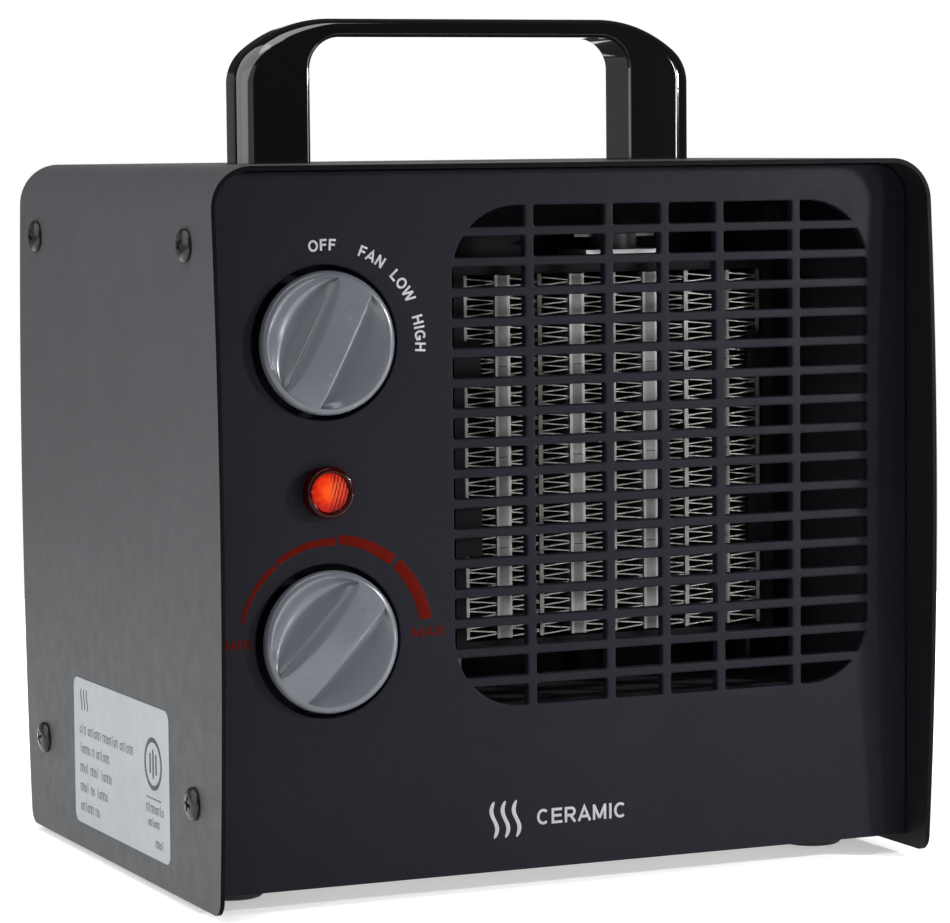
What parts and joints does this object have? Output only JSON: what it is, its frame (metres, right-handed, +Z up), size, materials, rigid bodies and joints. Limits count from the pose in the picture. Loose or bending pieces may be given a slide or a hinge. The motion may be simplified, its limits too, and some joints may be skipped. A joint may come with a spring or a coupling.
{
  "type": "portable ceramic space heater",
  "caption": "Boxy portable ceramic fan heater: folded grey steel shell, dark slotted front grille over a finned heater core, two rotary knobs, red pilot lamp and a loop carry handle.",
  "frame": {"origin": "on the floor plane under the middle of the shell, where the feet stand", "axes": "+X to the right when facing the front, the front faces -Y, +Z up"},
  "size_m": [0.2094, 0.1644, 0.229],
  "materials": {
    "shell_steel": "fine textured grey powder coat",
    "panel_plastic": "moulded charcoal, fine grain",
    "rear_plastic": "moulded charcoal, fine grain",
    "handle_plastic": "glossy black",
    "knob_plastic": "semi-gloss blue grey",
    "foot_rubber": "matt black",
    "black_screw": "black oxide",
    "zinc_screw": "bright zinc",
    "base_steel": "galvanised sheet",
    "label_film": "satin silver film",
    "cord_bush": "black nylon",
    "lens_red": "clear red",
    "bulb_glass": "clear glass",
    "holder_plastic": "black nylon",
    "switch_plastic": "brown phenolic",
    "contact_brass": "plain",
    "shaft_steel": "ground",
    "bimetal": "rolled strip",
    "insulator": "unglazed steatite",
    "duct_steel": "galvanised sheet",
    "frame_plastic": "black heat-resistant moulding",
    "strip_aluminium": "bright rolled",
    "fin_aluminium": "plain rolled",
    "ptc_ceramic": "sintered grey",
    "fan_plastic": "black nylon",
    "stator_steel": "stacked laminations",
    "coil_tape": "amber tape over the winding",
    "bobbin_plastic": "natural nylon",
    "lead_insulation": "high-temperature sleeving"
  },
  "bodies": {
    "casing": {"outer_shell": "shell_steel", "front_panel": "panel_plastic", "rear_panel": "rear_plastic", "handle": "handle_plastic", "handle_screws": "zinc_screw", "handle_washers": "zinc_screw", "side_screws": "black_screw", "base_plate": "base_steel", "base_screws": "zinc_screw", "foot_front_left": "foot_rubber", "foot_front_right": "foot_rubber", "foot_rear_left": "foot_rubber", "foot_rear_right": "foot_rubber", "foot_screws": "zinc_screw", "rating_label": "label_film", "cord_inlet": "cord_bush", "mode_switch_body": "switch_plastic", "mode_switch_tabs": "contact_brass", "switch_screws": "zinc_screw", "thermostat_frame": "base_steel", "thermostat_blades": "bimetal", "thermostat_insulators": "insulator", "thermostat_rivet": "zinc_screw", "pilot_lens": "lens_red", "pilot_bulb": "bulb_glass", "pilot_holder": "holder_plastic", "air_duct": "duct_steel", "heater_frame": "frame_plastic", "heater_fins": "fin_aluminium", "ceramic_stones": "ptc_ceramic", "contact_plates": "fin_aluminium", "electrode_strips": "strip_aluminium", "cutoff_bracket": "strip_aluminium", "thermal_cutoff": "base_steel", "fan_housing": "fan_plastic", "core_screws": "zinc_screw", "motor_stator": "stator_steel", "motor_coil": "coil_tape", "motor_bobbin": "bobbin_plastic", "motor_bridge_front": "base_steel", "motor_bridge_rear": "base_steel", "bearing_front": "contact_brass", "bearing_rear": "contact_brass", "motor_bolts": "zinc_screw", "motor_nuts": "zinc_screw", "bridge_screws": "zinc_screw", "tip_switch_case": "switch_plastic", "tip_switch_pin": "shaft_steel", "terminal_block": "bobbin_plastic", "terminal_screws": "contact_brass", "wiring": "lead_insulation"},
    "mode_knob_turner": {"mode_knob": "knob_plastic", "mode_switch_shaft": "shaft_steel"},
    "thermostat_knob_turner": {"thermostat_knob": "knob_plastic", "thermostat_shaft": "shaft_steel"},
    "fan": {"fan_rotor": "fan_plastic", "motor_shaft": "shaft_steel", "motor_rotor": "stator_steel", "fan_clip": "shaft_steel"},
    "tip_pendulum": {"tip_switch_pendulum": "contact_brass"}
  },
  "joints": [
    {"name": "mode_knob_turn", "type": "hinge", "parent": "casing", "child": "mode_knob_turner", "pos_m": [-0.0684, -0.068, 0.145], "axis": [0, 1, 0], "range_deg": [-27, 58]},
    {"name": "thermostat_knob_turn", "type": "hinge", "parent": "casing", "child": "thermostat_knob_turner", "pos_m": [-0.0684, -0.068, 0.0688], "axis": [0, 1, 0], "range_deg": [-128, 42]},
    {"name": "fan_spin", "type": "hinge", "parent": "casing", "child": "fan", "pos_m": [0.0281, 0, 0.111], "axis": [0, 1, 0], "continuous": true},
    {"name": "tip_pendulum_swing", "type": "hinge", "parent": "casing", "child": "tip_pendulum", "pos_m": [-0.072, 0.012, 0.0395], "axis": [1, 0, 0], "range_deg": [-18, 18]}
  ]
}
